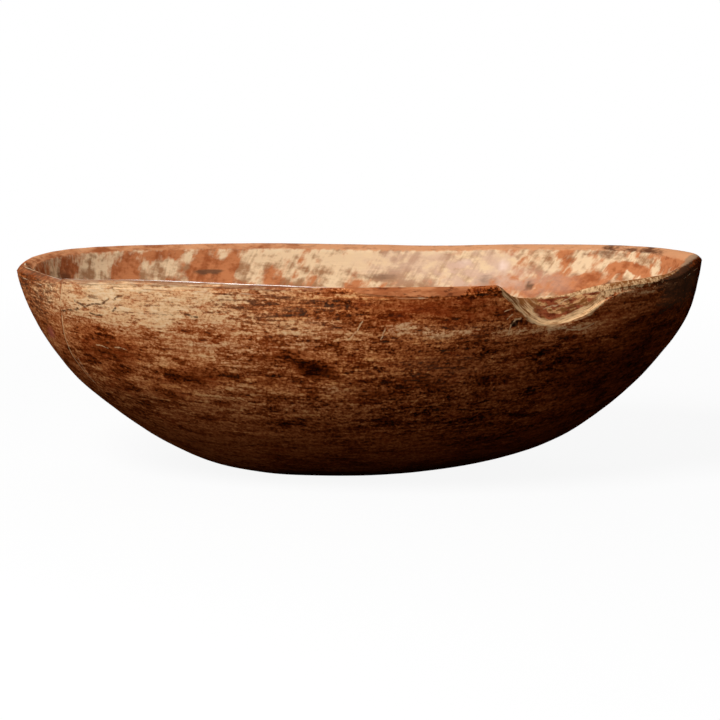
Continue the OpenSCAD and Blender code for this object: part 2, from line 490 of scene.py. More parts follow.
# Paler (+) and darker (-) places on the outside of the side with the scoop
NEAR_SIDE_SPOTS = [
    (-180, 168, 90, 25, 0.29, 0),
    (-278, 178, 30, 7, -0.16, 0),
    (-90, 162, 46, 12, -0.05, 0),
    (-208, 121, 26, 13, -0.24, -15),
    (-131, 103, 30, 9, -0.25, 0),
    (-160, 86, 20, 6, -0.18, -10),
    (-200, 94, 15, 7, -0.16, -40),
    (-102, 161, 17, 3, -0.14, 0),
    (-41, 113, 24, 8, -0.30, -22),
    (-78, 98, 13, 4, -0.16, -5),
    (10, 89, 15, 4, -0.18, 0),
    (2, 160, 22, 6, -0.12, -6),
    (-45, 156, 16, 3.5, -0.10, 0),
    (-22, 167, 22, 3, -0.05, 0),
    (28, 170, 16, 3, -0.10, 0),
    (0, 146, 70, 20, 0.05, 0),
    (176, 138, 38, 14, 0.12, 0),
    (50, 100, 20, 7, -0.12, 0),
    (62, 118, 30, 11, -0.06, 0),
    (60, 160, 54, 10, -0.14, 0),
    (123, 145.4, 2.8, 3.2, -0.50, 0),
    (-150, 152, 22, 4, 0.08, 0),
    (-108, 128, 36, 5, 0.04, -6),
    (-62, 132, 24, 5, 0.06, 0),
    (120, 118, 22, 3.5, 0.07, 0),
    (-20, 92, 18, 3, 0.08, 0),
    (-30, 78, 60, 5, 0.06, 0),
    (92, 142, 58, 5, 0.16, 0),
    (34, 144, 18, 4, 0.18, 0),
    (205, 146, 46, 8, 0.12, 10),
    (146, 138, 40, 3.5, 0.10, 2),
    (236, 167, 34, 5, 0.34, 6),
    (200, 108, 60, 40, -0.08, 30),
]
# Places on that side where the wood is redder
NEAR_SIDE_RUST = [
    (60, 160, 56, 12, 0.5, 0),
    (-208, 122, 26, 14, 0.28, -15),
    (180, 150, 52, 22, 0.32, 0),
]
# A knot in the trimmed end
NEAR_SIDE_KNOT = [(-264, 125, 4, 5, 0.8, 0)]
# Places on that side with grey dirt in the grain
NEAR_SIDE_GRIME = [
    (-170, 160, 110, 22, 0.20, 0),
    (-60, 160, 60, 22, 0.40, 0),
    (268, 170, 26, 26, 1.0, 0),
    (-280, 160, 26, 34, 0.50, 0),
    (70, 140, 60, 8, 0.30, 0),
    (62, 112, 40, 18, 0.36, 0),
]
# Scratches on that side, each from one X and height to another
PALE_SCRATCHES = [
    (-219, 123.4, -208, 121.6), (-202, 123.2, -192, 121.9), (0, 151, -4, 144),
    (-5.4, 142.8, -10.3, 136.3), (18.5, 146, 14.5, 136.5), (117.5, 138, 119.2, 145.6),
    (119.2, 145.6, 122, 149.4), (122, 149.4, 127, 151.3), (115.5, 151, 120, 154),
    (113, 157, 119, 160), (165, 139.8, 174, 138),
    (174, 138, 181, 139.9), (181, 139.9, 188, 142.5), (146, 157, 155, 158.5),
    (155, 158.5, 163, 162), (163, 162, 171, 166),
]
DARK_SCRATCHES = [
    (-236, 160, -225.6, 155.8), (-228.4, 154.1, -219.8, 159.5),
    (-219.8, 159.5, -210.9, 159.1), (-210.9, 159.1, -205.3, 164),
    (-200.6, 164.4, -193.8, 168.1), (-202.0, 153.5, -199.8, 157.0),
    (-221.7, 150.8, -212.1, 149.7), (-250.7, 148.8, -233, 153.5),
    (-140.9, 154.1, -131.5, 153.2), (121, 148, 124, 143.5),
]

# The broken edge along the bottom of the scoop, from left to right: X and height
SCOOP_RIDGE = [(113, 172), (119, 166.5), (126, 158), (134, 150.5), (143, 146),
               (151, 144), (159.5, 145), (168, 147.5), (176, 149.5), (185, 152.5),
               (193, 158.5), (198, 164), (204, 168), (222, 171), (245, 175)]
SCOOP_SPAN = (104 * MM, 284 * MM)

# The edge of the trimmed end: its angle round the bowl at heights from the foot
# to the rim, in equal steps
ARRIS_ANGLES = [206, 204.5, 203, 202, 201.2, 200.4, 200.2, 201.5, 203.6, 205.6, 206.6]

# How far strokes on the inside lean: metres along the wall per metre of depth
STROKE_LEAN = 0.6
# How far out from the middle the floor of the hollow reaches, against the outline
FLOOR_SHARE = 0.62
# Bare (+) and painted (-) places on the inside of the far wall: X, depth below
# the rim, half sizes, amount, tilt
FAR_WALL_BARE = [
    (-288, 20, 6, 14, -0.12, 0),
    (-278, 18, 3, 12, 0.16, 0),
    (-268, 19, 6, 8, -0.55, 0),
    (-248, 22, 12, 12, 0.35, 0),
    (-222, 22, 12, 16, -0.35, 0),
    (-190, 22, 20, 10, 0.30, 0),
    (-190, 8, 34, 5, -0.20, 0),
    (-165, 14, 4, 9, 0.45, 0),
    (-143, 24, 22, 13, -0.60, 0),
    (-108, 22, 16, 16, 0.30, 25),
    (-92, 30, 12, 8, -0.35, 0),
    (-62, 20, 24, 20, 0.20, 0),
    (-30, 22, 9, 26, 0.60, 0),
    (45, 22, 62, 24, 0.36, 0),
    (118, 20, 24, 18, 0.36, 0),
    (172, 40, 40, 8, -0.05, 0),
    (176, 20, 11, 8, 0.34, 0),
    (192, 18, 5, 10, -0.16, 15),
    (206, 20, 9, 8, 0.36, 10),
    (224, 20, 5, 8, 0.34, 18),
    (246, 22, 18, 6, -0.60, 0),
    (243, 31, 2.4, 6, 0.45, 15),
    (266, 24, 2.5, 11, 0.50, 18),
    (276, 22, 1.6, 9, 0.40, 18),
    (251, 12.5, 14, 4, 0.36, 0),
    (290, 14, 24, 14, -0.25, 0),
    (40, 36, 60, 8, -0.12, 0),
    (170, 37, 70, 8, -0.24, 0),
    (-150, 40, 60, 8, -0.10, 0),
    (-20, 8, 90, 6, 0.10, 0),
]
# Greyer places on that wall; the strongest, in the middle, is a painted sheen
FAR_WALL_GREY_AND_SHEEN = [
    (40, 18, 50, 16, 0.60, 0),
    (108, 26, 40, 24, 0.95, 0),
    (168, 34, 30, 12, 0.40, 0),
]
FAR_WALL_DARK = [
    (-288, 22, 6, 14, 0.25, 0),
    (-267, 24, 7, 12, 0.30, 0),
    (12, 30, 26, 4, 0.55, 0),
    (-146, 26, 14, 2.6, 1.2, 0),
    (-143, 34, 5, 5, 0.5, 0),
    (-46, 27, 5, 7, 0.5, 0),
    (118, 34, 15, 8, 0.5, 0),
    (158, 38, 6, 4, 0.9, 0),
    (228, 35, 6, 3.5, 1.0, 0),
    (252, 32.5, 5, 3, 1.0, 0),
    (224, 8, 26, 4, 0.5, 0),
    (-276, 22, 10, 10, 0.4, 0),
    (-232, 30, 14, 8, 0.3, 0),
]

# Painted highlights on that wall, where its glossy finish would shine
FAR_WALL_PAINTED_HIGHLIGHTS = [
    (98, 16, 7, 2.6, 0.5, 0),
    (133, 19, 4, 5, 0.75, 0),
]

# How far the outlines of the spots wander along and up, and how fine that is
WANDER_SIZE = np.array([26, 26, 13]) * MM
WANDER_ALONG = 9 * MM
WANDER_UP = 5 * MM
WANDER_ALONG_SEED, WANDER_UP_SEED, RAGGED_SEED = 21, 23, 25
# The second, finer wandering has a third of that size and this share of it
FINE_SHARE = 0.6
# The bare and dark places of the far wall are ragged besides, the dark ones by
# this share of it down the wall
RAGGED_SIZE = 9 * MM
RAGGED_BY = 4.5 * MM
DARK_RAGGED_SHARE = 0.4

# Slopes inside the two ends of the scoop's span
SCOOP_SLOPES = (8 * MM, 25 * MM)
RUST_EVERYWHERE = 0.1

# Strokes lean fully at the edge of the hollow's floor, and not at all from the
# first share of the way to it inwards. How sharply they end at that edge, and the
# shares between which the floor goes over into the wall
LEAN_SHARES = (0.3, 1.0)
FLOOR_BEND = 8
FLOOR_EDGE_SHARES = (0.97, 0.5)
# Where the paint is deeper towards the left end, along X
DEEPER_PAINT = (-60 * MM, -260 * MM)
# Fields of the inside: an amount everywhere, and more or less of it by place
INSIDE_FIELDS = {
    "patchy": (1.0, {"near": -0.25, "floor": -0.55}),
    "bare": (0.50, {"floor": 0.34}),
    "deep": (0.43, {"left": 0.10}),
}

# Stretches of the rim, by where each starts and where it is full. They lie along
# X, the ones named across lie along Y, and the last two are below the crest and
# by how far the surface faces outwards
NEAR_LEFT = (-10 * MM, -60 * MM)
NEAR_EDGE = (-20 * MM, -50 * MM)
LEFT_CORNER = (-250 * MM, -270 * MM)
NEAR_RIGHT = (160 * MM, 190 * MM)
FAR_PALE = (-120 * MM, 0)
FAR_RIGHT = (205 * MM, 235 * MM)
RIGHT_END = (262 * MM, 282 * MM)
RIGHT_END_ACROSS = (-100 * MM, -70 * MM)
GREY_ACROSS = (60 * MM, 20 * MM)
POLISHED = (-275 * MM, -235 * MM)
POLISHED_BELOW = (3.5 * MM, 1 * MM)
POLISHED_OUTWARD = (0.40, 0.20)
# The bevel beside the scoop, along X, and the slopes at its two ends
BEVEL_SPAN = (-30 * MM, 96 * MM)
BEVEL_SLOPES = (40 * MM, 22 * MM)

# Fields of the rim: an amount everywhere, and more or less of it by place. The
# last two say how many millimetres down its paint goes, and how far out. The near
# rim has lost it on its outer half, but for the bevel
RIM_FIELDS = {
    "polish": (0.0, {"polished": 1.05}),
    "rim_dark": (0.05, {"near_left": 0.50, "near_right": 0.45, "far_right": 0.62}),
    "rim_edge": (0.0, {"near_edge": 0.80, "left_corner": -0.32}),
    "rim_chipped": (0.25, {"near": 0.50, "right_end": -0.25}),
    "rim_grey": (0.0, {"grey_end": 0.95}),
    "rim_pale": (0.45, {"far_pale": 0.35, "bevel": -0.30}),
    "rim_low": (1.6, {"inside": 3.6, "bevel": 5.5, "right_end": 1.5}),
    "rim_out": (0.45, {"near": -0.35, "near_left": -0.15, "bevel": 1.2, "right_end": 0.1}),
}


def wandering(places, seed):
    """Noise that makes the outlines of spots uneven."""
    fine = waves(places, WANDER_SIZE / 3, seed + 1)
    return waves(places, WANDER_SIZE, seed) + FINE_SHARE * fine


def by_place(field, places):
    """An amount everywhere, and more or less of it at the named places."""
    base, added = field
    return base + sum(amount * places[name] for name, amount in added.items())


def paint_outside(surface, x, z):
    """Stains, rust, dirt and grain of the outside."""
    near = surface.near
    along = (surface.x - cad_low.x) / (cad_high.x - cad_low.x)
    tone = table(PALE_ALONG_SHARES, along) + table(PALE_UP_SHARES, surface.up)
    surface.keep("tone", tone + near * spots(x, z, NEAR_SIDE_SPOTS))
    surface.keep("rough", table(ROUGH_SHARES, along))
    surface.keep("rust", RUST_EVERYWHERE + near * spots(x, z, NEAR_SIDE_RUST))
    surface.keep("grime", near * spots(x, z, NEAR_SIDE_GRIME))
    surface.keep("knot", near * spots(surface.x, surface.z, NEAR_SIDE_KNOT))
    surface.keep("near_side", near * surface.outside)
    surface.keep("from_arris", surface.from_arris() / MM)
    sag = GRAIN_SAG * surface.x ** 2 * (1 - surface.up)
    surface.keep_vectors("grain", surface.x, surface.y, surface.z - sag)


def paint_scoop(surface):
    """Where the torn edge of the scoop runs, in millimetres."""
    away, along = route_distance(surface.x, surface.z, SCOOP_RIDGE)
    surface.keep_vectors("ridge", along / MM, away / MM, surface.x / MM)
    surface.keep("by_scoop", surface.near * surface.outside * between(
        surface.x, *SCOOP_SPAN, *SCOOP_SLOPES))


def paint_strokes(surface):
    """Lays out the strokes, which run down the wall and end where the floor begins.
    Gives how much each vertex belongs to the floor."""
    across, along = surface.y / cad_high.y, surface.x / cad_high.x
    share = np.hypot(across, along) / FLOOR_SHARE
    share = 1 - np.log1p(np.exp(-FLOOR_BEND * (share - 1))) / FLOOR_BEND
    down = surface.depth / cad_high.x
    turned = np.arctan2(across, along) - STROKE_LEAN * down * ramp(share, *LEAN_SHARES)
    surface.keep_vectors("wall", share * np.cos(turned), share * np.sin(turned), down)
    return ramp(share, *FLOOR_EDGE_SHARES)


def paint_inside(surface, x, drop):
    """Remains of paint on the inside, with what the far wall shows of them, and the
    painted sheen and highlights of that wall.
    """
    far = surface.far
    ragged = RAGGED_BY * waves(surface.co, RAGGED_SIZE, RAGGED_SEED)
    depth = surface.depth + drop
    places = {
        "near": surface.near,
        "floor": paint_strokes(surface),
        "left": ramp(surface.x, *DEEPER_PAINT),
    }
    surface.keep("deep", by_place(INSIDE_FIELDS["deep"], places))
    surface.keep("patchy", by_place(INSIDE_FIELDS["patchy"], places))
    surface.keep("bare", by_place(INSIDE_FIELDS["bare"], places) + far * spots(
        surface.x + ragged, depth - ragged, FAR_WALL_BARE))
    surface.keep("grey", far * spots(x, depth, FAR_WALL_GREY_AND_SHEEN))
    surface.keep("smudge", far * spots(
        surface.x + ragged, surface.depth - DARK_RAGGED_SHARE * ragged, FAR_WALL_DARK))
    surface.keep("painted_highlight", far * spots(surface.x, surface.depth, FAR_WALL_PAINTED_HIGHLIGHTS))


def paint_rim(surface):
    """How the rim is painted, rubbed and polished."""
    x = surface.x
    right_end = ramp(x, *RIGHT_END) * ramp(surface.y, *RIGHT_END_ACROSS)
    near = surface.near
    near_left = near * ramp(x, *NEAR_LEFT)
    crest = ramp(surface.depth, *POLISHED_BELOW) * ramp(surface.outward, *POLISHED_OUTWARD)
    places = {
        "inside": surface.inside,
        "right_end": right_end,
        "grey_end": right_end * ramp(surface.y, *GREY_ACROSS),
        "near": near * (1 - right_end),
        "near_left": near_left,
        "near_edge": near * ramp(x, *NEAR_EDGE),
        "near_right": near * ramp(x, *NEAR_RIGHT) * (1 - right_end),
        "left_corner": near * ramp(x, *LEFT_CORNER),
        "far_pale": surface.far * ramp(x, *FAR_PALE),
        "far_right": surface.far * ramp(x, *FAR_RIGHT) * (1 - right_end),
        "bevel": near * surface.outside * between(x, *BEVEL_SPAN, *BEVEL_SLOPES),
        "polished": near_left * crest * ramp(x, *POLISHED),
    }
    for name, field in RIM_FIELDS.items():
        surface.keep(name, by_place(field, places))


def paint(surface):
    """Writes the fields that the material reads."""
    surface.keep("inside", surface.inside)
    surface.keep("depth", surface.depth / MM)
    surface.keep("outward", surface.outward)
    x = surface.x + WANDER_ALONG * wandering(surface.co, WANDER_ALONG_SEED)
    drop = WANDER_UP * wandering(surface.co, WANDER_UP_SEED)
    paint_outside(surface, x, surface.z + drop)
    paint_scoop(surface)
    paint_inside(surface, x, drop)
    paint_rim(surface)


# Material

# What the patterns lie over, and the unit that their sizes are given in. The wall
# is in shares of the bowl's half length, and the ridge is in millimetres already
UNITS = {"place": MM, "grain": MM, "wall": 1, "ridge": 1}
# Noise patterns: what each lies over, the three sizes of its features, its detail
# and its roughness
PATTERNS = {
    "hair": ("grain", (34, 14, 2.6), 4, 0.70),
    "short": ("grain", (4.5, 4, 2.3), 3, 0.75),
    "band": ("grain", (90, 40, 8), 5, 0.62),
    "patch": ("grain", (30, 16, 11), 8, 0.68),
    "zone": ("grain", (80, 40, 26), 3, 0.50),
    "speckle": ("grain", (2, 4, 2), 1, 0.50),
    "end_specks": ("grain", (8, 8, 3), 3, 0.65),
    "rust": ("grain", (22, 12, 7), 4, 0.60),
    "shake": ("place", (9, 9, 9), 2, 0.50),
    "broken": ("place", (4, 4, 2.5), 2, 0.60),
    "wash": ("place", (40, 40, 22), 3, 0.55),
    "mottle": ("place", (15, 15, 9), 3, 0.60),
    "fibre": ("place", (60, 5, 8), 4, 0.60),
    "fleck": ("place", (5, 5, 4), 3, 0.60),
    "stroke": ("wall", (0.028, 0.028, 0.20), 3, 0.55),
    "blotch": ("wall", (0.085, 0.085, 0.09), 4, 0.66),
    "rub": ("place", (26, 26, 8), 4, 0.60),
    "rim_chip": ("place", (8, 6, 2), 3, 0.60),
    "torn_fibre": ("ridge", (22, 1.3, 1e6), 3, 0.60),
    "lump": ("ridge", (12, 4, 1e6), 3, 0.60),
    "hatch": ("place", (2.6, 6, 4), 3, 0.75),
    "scoop_chip": ("place", (12, 30, 6), 3, 0.60),
    "scoop_blot": ("place", (6, 20, 4), 3, 0.60),
    "polish": ("place", (16, 1.4, 6), 3, 0.60),
}

# How much of which patterns is added to a value
BLENDS = {
    "streaks": {"hair": 0.85, "band": 0.5},
    "fine": {"short": 1.15, "speckle": 0.5},
    "zone": {"zone": 0.26},
    "rust": {"rust": 2.2},
    "grime": {"hair": -2.4, "short": -1.6},
    "bump": {"hair": 0.7, "patch": 0.8},
    "bare": {"stroke": 0.9, "blotch": 1.5, "fibre": 0.4, "fleck": 0.3},
    "deep": {"stroke": 0.5, "mottle": 1.0, "fleck": 0.5},
    "dull": {"stroke": 0.9, "mottle": 1.0, "fibre": 0.5},
    "smudge": {"mottle": 0.8},
    "inside": {"fleck": 0.6},
    "rim_low": {"fleck": 4.0},
    "rim_out": {"fleck": 0.5},
    "rim_edge": {"hair": 8.0, "patch": 6.0},
    "rim_pale": {"rub": -1.2},
    "rim_dark": {"rub": 1.6},
    "rim_grey": {"rub": 1.0},
    "torn_fibre": {"lump": 0.8},
    "ridge": {"lump": 5.0},
    "lip": {"scoop_blot": 3.0},
    "left_flank": {"scoop_blot": 30.0},
    "chipped": {"scoop_blot": 0.4},
}

# Eased steps: the value where each starts and where it is full, and what it gives
# there if that isn't 0 and 1. Places and depths are in millimetres
STEPS = {
    # Contrast of the grain, by how pale the place is, by depth and on the trimmed end
    "contrast_in_dark": (0.12, 0.44, 0.38, 0.98),
    "contrast_in_pale": (0.50, 0.76, 1.0, 0.84),
    "contrast_by_foot": (150.0, 100.0, 0.52, 1.0),
    "contrast_on_end": (0.0, -1.0, 1.0, 0.7),
    # Stains of the outside
    "stain": (0.50, 0.535, -0.035, 0.105),
    "blot": (0.56, 0.63, 0.0, 0.09),
    "dark_zone": (0.60, 0.42),
    "pale_grain": (0.40, 0.62),
    "rust": (0.1, 0.9, 0.0, 0.45),
    "grime": (0.25, 0.85, 0.0, 0.7),
    # The trimmed end and its edge, by the distance from that edge and by depth: painted
    # shade beside the edge, and the pale line on it, partly a painted highlight
    "trimmed_end": (0.0, -1.0),
    "end_specks": (0.48, 0.62, -0.02, 0.11),
    "painted_shade_by_arris": (-4.0, -1.0, 0.0, 0.17),
    "arris_left": (-0.9, -0.2),
    "arris_right": (1.1, 0.4, 0.0, 0.8),
    "arris_shows": (105.0, 70.0),
    "scratch_broken": (0.36, 0.56, 0.2, 0.95),
    # Paint and bare wood of the inside, and its painted sheen
    "bare": (0.33, 0.69),
    "deep": (0.32, 0.68),
    "dull": (0.36, 0.74),
    "duller_down": (6.0, 32.0, -0.09, 0.02),
    "grey": (0.3, 0.6),
    "smudge": (0.25, 0.85, 0.0, 0.8),
    "inside": (0.35, 0.55),
    # The rim
    "rim_deep": (0.42, 0.62),
    "rim_pale": (0.3, 0.7, 0.0, 0.8),
    "rim_chip": (0.52, 0.66),
    "rim_dark": (0.35, 0.65, 0.0, 0.9),
    "rim_grey": (0.3, 0.7, 0.0, 0.9),
    "rim_edge": (5.2, 2.0),
    "polish": (0.42, 0.62),
    # The scoop along X
    "left_of_lip": (200.0, 180.0),
    "on_lip": (180.0, 200.0),
    "left_flank": (146.0, 134.0),
    "brown_flank": (136.0, 122.0, 0.0, 0.09),
    "brown_torn": (196.0, 222.0, 0.0, 0.09),
    "brown_lip": (196.0, 222.0, 0.0, 0.12),
    "lip_depth": (150.0, 200.0, 1.8, 6.0),
    "fraying": (180.0, 215.0, 0.0, 22.0),
    "torn_width": (158.0, 185.0, 3.6, 6.4),
    # The scoop by distance above its torn edge, and by pattern
    "ridge_bottom": (-3.6, -0.4),
    "ridge_top": (9.0, 1.5),
    "torn_from": (-3.5, -1.0),
    "torn_to": (0.6, -0.4),
    "above_ridge": (-1.5, 1.0),
    "torn": (0.38, 0.66),
    "lipped": (0.34, 0.62),
    "scoop_deep": (0.42, 0.62),
    "chipped": (0.49, 0.58),
    "chip_brown": (0.40, 0.62),
    "roughness": (0.3, 0.7, 0.42, 0.62),
}
# How far the lip of the scoop and the paint of the rim fade, in millimetres, and
# how far the latter does by how much the surface faces outwards
LIP_FADE = 1.5
RIM_FADE_BELOW, RIM_FADE_ABOVE = 0.5, 1.5
RIM_FADE_OUT = 0.25
# How the streaks count against stains, how much the crest of the torn edge counts
# as pale fibre, a painted highlight on its rounded top, and that fibre as brown chips,
# and from where the hatching frays
STAIN_BY_STREAKS = -0.12
CREST_HIGHLIGHT = 0.16
CHIP_FIBRE = 0.7
FRAY_LEVEL = 0.55

# Scratches: half widths, the share of that with full colour, and how far they shake
DARK_SCRATCH_WIDTH = 1.3 * MM
PALE_SCRATCH_WIDTH = 0.75 * MM
SCRATCH_CORE_SHARE = 0.3
SCRATCH_SHAKE = 5 * MM

BUMP_STRENGTH = 0.5
BUMP_HEIGHT = 0.8 * MM
COAT_ROUGHNESS = 0.15

# Colours of the outside, from the darkest stain to bare wood
WOOD_STOPS = [
    (0.00, srgb(24, 12, 6)),
    (0.09, srgb(48, 20, 9)),
    (0.17, srgb(80, 35, 14)),
    (0.25, srgb(107, 49, 20)),
    (0.33, srgb(133, 64, 30)),
    (0.42, srgb(160, 86, 46)),
    (0.52, srgb(182, 110, 68)),
    (0.63, srgb(210, 148, 102)),
    (0.73, srgb(232, 182, 132)),
    (1.00, srgb(243, 207, 164)),
]
GOLDEN = (1.0, 0.78, 0.54, 1.0)
RUST = srgb(156, 64, 30)
KNOT = srgb(178, 96, 80)
GRIME = srgb(88, 64, 48)
# Pale scratches, and the pale line on the trimmed end's edge, partly a painted highlight
PALE_SCRATCH_AND_HIGHLIGHT = srgb(222, 178, 132)
SCRATCH_DARK = srgb(96, 64, 44)
PAINT_RED = srgb(197, 127, 84)
PAINT_DEEP = srgb(160, 91, 56)
PAINT_DARK = srgb(84, 40, 26)
SMUDGE = srgb(96, 72, 56)
# Colour of the painted highlights on the far inside wall
PAINTED_HIGHLIGHT = srgb(252, 228, 214)
RIM_DARK = srgb(84, 50, 36)
RIM_EDGE = srgb(124, 84, 62)
RIM_PALE = srgb(222, 160, 116)
RIM_GREY = srgb(164, 130, 102)
BARE_TAN = srgb(238, 209, 169)
BARE_DULL = srgb(166, 124, 90)
# Grey of worn wood, also the colour of the painted sheen inside
BARE_GREY_AND_SHEEN = srgb(218, 184, 160)
RIDGE_PALE = srgb(242, 196, 144)
RIDGE_BROWN = srgb(146, 90, 50)
CHIP_TAN = srgb(240, 178, 120)
SCOOP_RED = srgb(172, 90, 58)
# Darker red of the worn face, partly painted shade in its holes
SCOOP_DEEP = srgb(112, 50, 32)


class Nodes:
    """Short names for building a material's nodes."""

    def __init__(self, material):
        material.use_nodes = True
        self.tree = material.node_tree
        self.tree.nodes.clear()
        self.patterns = {}

    def node(self, kind, **settings):
        made = self.tree.nodes.new("ShaderNode" + kind)
        for name, value in settings.items():
            setattr(made, name, value)
        return made

    def plug(self, socket, value):
        if isinstance(value, bpy.types.NodeSocket):
            self.tree.links.new(value, socket)
        else:
            socket.default_value = value

    def field(self, name, output="Fac"):
        """What the vertices keep under that name."""
        return self.node("Attribute", attribute_name=name).outputs[output]

    def over(self, name):
        """The vector of that name: the place itself, or a field."""
        if name == "place":
            return self.node("TexCoord").outputs["Object"]
        return self.field(name, "Vector")

    def math(self, operation, *values, clamp=False):
        made = self.node("Math", operation=operation, use_clamp=clamp)
        for socket, value in zip(made.inputs, values):
            self.plug(socket, value)
        return made.outputs[0]

    def times(self, value, *factors):
        for factor in factors:
            value = self.math("MULTIPLY", value, factor)
        return value

    def plus(self, a, b):
        return self.math("ADD", a, b)

    def minus(self, a, b):
        return self.math("SUBTRACT", a, b)

    def vector(self, operation, *values):
        """The outputs of a node for vectors."""
        made = self.node("VectorMath", operation=operation)
        for socket, value in zip(made.inputs, values):
            self.plug(socket, value)
        return made.outputs

    def rise(self, value, low, high, out_low=0.0, out_high=1.0):
        made = self.node("MapRange", interpolation_type="SMOOTHSTEP")
        for socket, given in zip(made.inputs, (value, low, high, out_low, out_high)):
            self.plug(socket, given)
        return made.outputs["Result"]

    def step(self, name, value):
        """The value past the eased step of that name."""
        return self.rise(value, *STEPS[name])

    def pattern(self, name, output="Fac"):
        """The noise pattern of that name, with values about 0.5."""
        if name not in self.patterns:
            over, sizes, detail, roughness = PATTERNS[name]
            scale = [1 / (size * UNITS[over]) for size in sizes]
            made = self.node("TexNoise")
            self.plug(made.inputs["Vector"], self.vector("MULTIPLY", self.over(over), scale)[0])
            made.inputs["Scale"].default_value = 1.0
            made.inputs["Detail"].default_value = detail
            made.inputs["Roughness"].default_value = roughness
            self.patterns[name] = made
        return self.patterns[name].outputs[output]

    def centred(self, pattern, strength, value):
        """The value with that much of a pattern about 0.5 added to it."""
        return self.math("MULTIPLY_ADD", self.minus(pattern, 0.5), strength, value)

    def blend(self, name, value=0.0):
        """The value with the blend of that name added to it."""
        for pattern, strength in BLENDS[name].items():
            value = self.centred(self.pattern(pattern), strength, value)
        return value

    def shown(self, name):
        """How much the field of that name shows, by the blend and step of that name."""
        return self.step(name, self.blend(name, self.field(name)))

    def mix(self, factor, a, b, blend_type="MIX"):
        made = self.node("Mix", data_type="RGBA", blend_type=blend_type)
        self.plug(made.inputs["Factor"], factor)
        self.plug(made.inputs[6], a)
        self.plug(made.inputs[7], b)
        return made.outputs[2]

    def scratches(self, place, lines, half_width):
        """1 on any of the lines, seen from the front. Each is X and height of its
        two ends, in millimetres."""
        total = 0.0
        for x0, z0, x1, z1 in lines:
            step = Vector((x1 - x0, 0, z1 - z0)) * MM
            from_start = self.vector("SUBTRACT", place, Vector((x0, 0, z0)) * MM)[0]
            share = self.vector("DOT_PRODUCT", from_start, step / step.length_squared)["Value"]
            share = self.math("ADD", share, 0.0, clamp=True)
            reached = self.vector("MULTIPLY", step, share)[0]
            away = self.vector("DISTANCE", from_start, reached)["Value"]
            line = self.rise(away, half_width, SCRATCH_CORE_SHARE * half_width)
            total = self.math("MAXIMUM", total, line)
        return total

    def colours(self, value, stops):
        """Colour by value, from a list of (place, colour)."""
        made = self.node("ValToRGB")
        self.plug(made.inputs["Fac"], value)
        elements = made.color_ramp.elements
        while len(elements) < len(stops):
            elements.new(1.0)
        for element, (place, colour) in zip(elements, stops):
            element.position = place
            element.color = colour
        return made.outputs["Color"]


def outer_colour(n):
    """Stained wood with its grain along X."""
    base = n.field("tone")
    depth = n.field("depth")
    arris = n.field("from_arris")
    patch = n.pattern("patch")
    streaks = n.math("MULTIPLY_ADD", n.blend("fine"), n.field("rough"), n.blend("streaks"))
    contrast = n.times(
        n.step("contrast_in_dark", base), n.step("contrast_in_pale", base),
        n.step("contrast_by_foot", depth), n.step("contrast_on_end", arris))
    tone = n.blend("zone", n.math("MULTIPLY_ADD", streaks, contrast, base))
    stain = n.step("stain", n.math("MULTIPLY_ADD", streaks, STAIN_BY_STREAKS, patch))
    stain = n.plus(stain, n.step("blot", patch))
    tone = n.minus(tone, n.times(stain, contrast))
    # The trimmed end has dark specks, and painted shade darkens it next to its edge
    beside = n.times(n.step("painted_shade_by_arris", arris), n.step("arris_shows", depth))
    on_end = n.plus(n.step("end_specks", n.pattern("end_specks")), beside)
    tone = n.minus(tone, n.times(n.step("trimmed_end", arris), on_end))
    colour = n.colours(tone, WOOD_STOPS)
    # Pale grain in the dark zones is stained golden
    stained = n.times(n.step("dark_zone", base), n.step("pale_grain", tone))
    colour = n.mix(stained, colour, GOLDEN, blend_type="MULTIPLY")
    colour = n.mix(n.shown("rust"), colour, RUST)
    return n.mix(n.shown("grime"), colour, GRIME)


def marked(n, colour):
    """The outside with the pale line on the edge of the trimmed end, which is worn wood
    and partly a painted highlight, with scratches and a knot.
    """
    arris = n.field("from_arris")
    # A pale line on the edge: worn wood, and a painted highlight where it catches the light
    line = n.times(
        n.step("arris_left", arris), n.step("arris_right", arris),
        n.step("arris_shows", n.field("depth")))
    colour = n.mix(line, colour, PALE_SCRATCH_AND_HIGHLIGHT)
    # The lines shake, and are compared with the place as seen from the front
    shaken = n.vector("MULTIPLY_ADD", n.pattern("shake", "Color"),
                      (SCRATCH_SHAKE, 0, SCRATCH_SHAKE), n.over("place"))[0]
    back = -SCRATCH_SHAKE / 2
    flat = n.vector("MULTIPLY_ADD", shaken, (1, 0, 1), (back, 0, back))[0]
    broken = n.times(n.field("near_side"), n.step("scratch_broken", n.pattern("broken")))
    dark = n.scratches(flat, DARK_SCRATCHES, DARK_SCRATCH_WIDTH)
    colour = n.mix(n.times(dark, broken), colour, SCRATCH_DARK)
    pale = n.scratches(flat, PALE_SCRATCHES, PALE_SCRATCH_WIDTH)
    colour = n.mix(n.times(pale, broken), colour, PALE_SCRATCH_AND_HIGHLIGHT)
    return n.mix(n.field("knot"), colour, KNOT)


